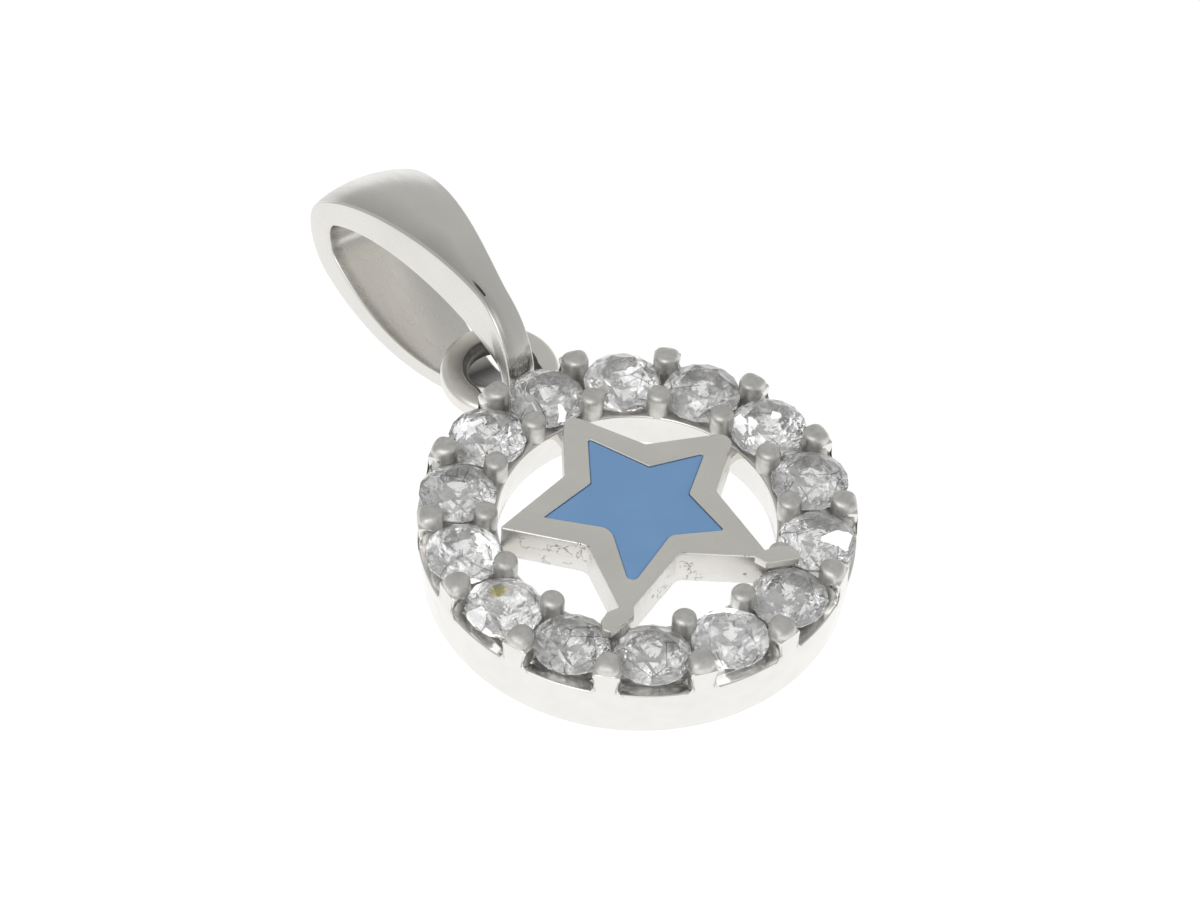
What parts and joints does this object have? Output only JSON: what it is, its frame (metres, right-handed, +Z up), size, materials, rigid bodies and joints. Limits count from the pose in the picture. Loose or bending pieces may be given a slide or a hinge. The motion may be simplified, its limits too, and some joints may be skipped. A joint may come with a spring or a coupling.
{
  "type": "star pendant",
  "caption": "Round pendant with a halo of prong-set brilliants, an enamelled star held at its points in the open middle, a fixed loop on the rim and a tapered bail.",
  "frame": {"origin": "on the surface that the pendant lies on, under the centre of the whole piece", "axes": "+Z up from the surface, +Y from the halo towards the bail's far end, +X across; the pendant lies face up"},
  "size_m": [0.0112, 0.0206, 0.0051],
  "materials": {
    "silver": "polished silver",
    "blue_enamel": "glossy opaque enamel",
    "clear_stone": "faceted and polished"
  },
  "bodies": {
    "root": {"setting": "silver", "bail": "silver", "enamel_star": "blue_enamel", "stone_01": "clear_stone", "stone_02": "clear_stone", "stone_03": "clear_stone", "stone_04": "clear_stone", "stone_05": "clear_stone", "stone_06": "clear_stone", "stone_07": "clear_stone", "stone_08": "clear_stone", "stone_09": "clear_stone", "stone_10": "clear_stone", "stone_11": "clear_stone", "stone_12": "clear_stone", "stone_13": "clear_stone", "stone_14": "clear_stone"}
  },
  "joints": []
}
